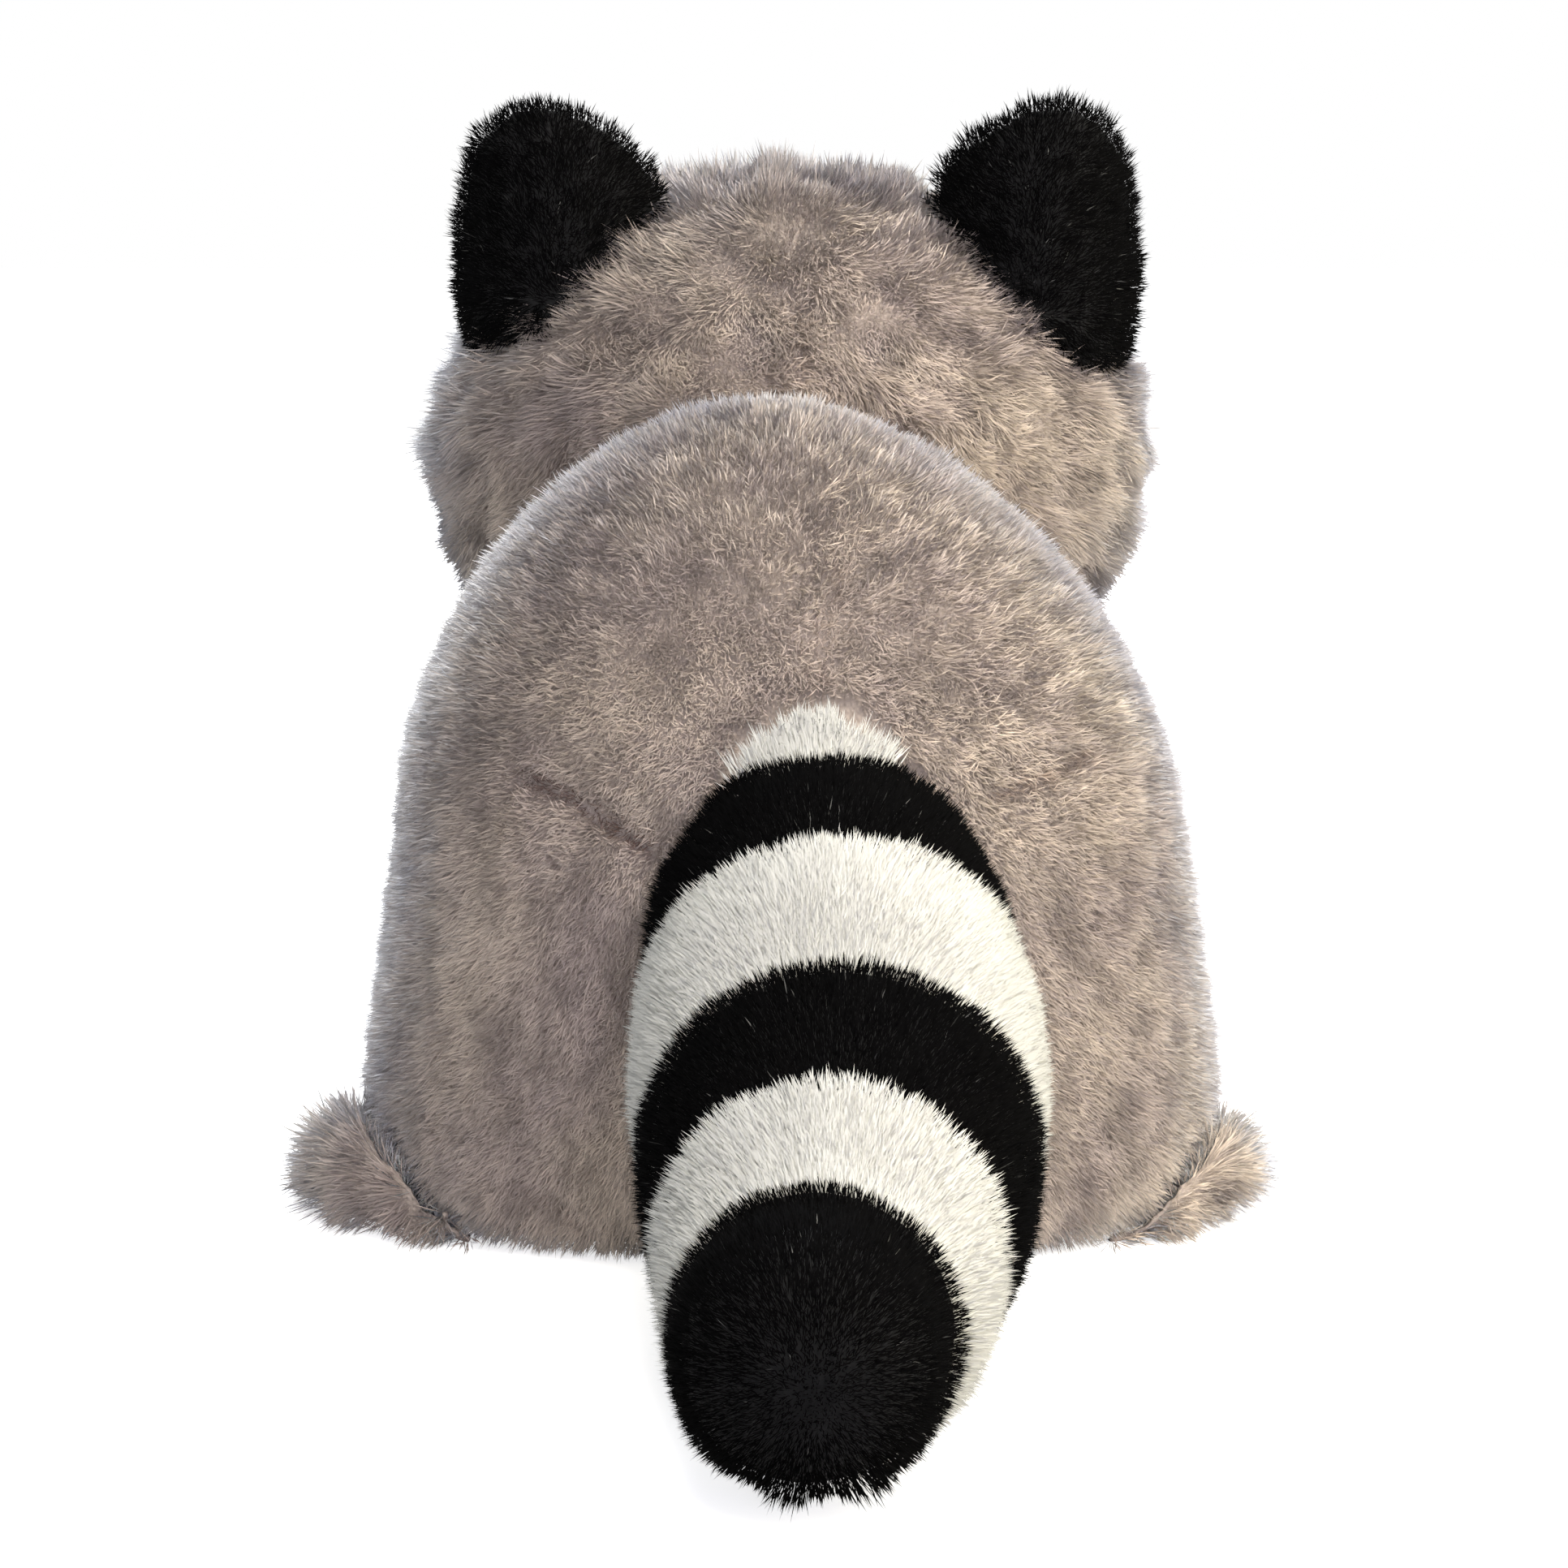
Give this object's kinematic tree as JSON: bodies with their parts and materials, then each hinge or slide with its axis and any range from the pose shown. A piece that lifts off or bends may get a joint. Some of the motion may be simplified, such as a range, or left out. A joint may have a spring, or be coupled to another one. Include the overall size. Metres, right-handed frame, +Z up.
{
  "type": "plush raccoon toy",
  "caption": "Chubby stuffed plush raccoon lying on its belly, with rounded black ears, a black eye mask, short paws and a thick black and white ringed tail.",
  "frame": {"origin": "on the floor, on the flat underside of the body, below the middle of the back", "axes": "+Z up, the raccoon faces -Y and its tail points to +Y, +X is the raccoon's own left side"},
  "size_m": [0.1928, 0.3595, 0.2191],
  "materials": {
    "grey_fur": "short pile plush, greyish taupe with darker mottled streaks",
    "black_fur": "short pile plush, black",
    "white_fur": "short pile plush, warm white",
    "lining_fur": "shorter pile plush, pale grey",
    "black_plastic": "moulded, glossy"
  },
  "bodies": {
    "root": {"body": "grey_fur", "head": "grey_fur", "ear_left": "black_fur", "ear_right": "black_fur", "ear_lining_left": "lining_fur", "ear_lining_right": "lining_fur", "muzzle": "white_fur", "nose": "black_plastic", "eye_left": "black_plastic", "eye_right": "black_plastic", "mask_left": "black_fur", "mask_right": "black_fur", "brow_left": "white_fur", "brow_right": "white_fur", "foreleg_left": "grey_fur", "foreleg_right": "grey_fur", "front_paw_left": "black_fur", "front_paw_right": "black_fur", "hind_foot_left": "grey_fur", "hind_foot_right": "grey_fur", "tail_ring_1_white": "white_fur", "tail_ring_2_black": "black_fur", "tail_ring_3_white": "white_fur", "tail_ring_4_black": "black_fur", "tail_ring_5_white": "white_fur", "tail_tip_black": "black_fur"}
  },
  "joints": []
}
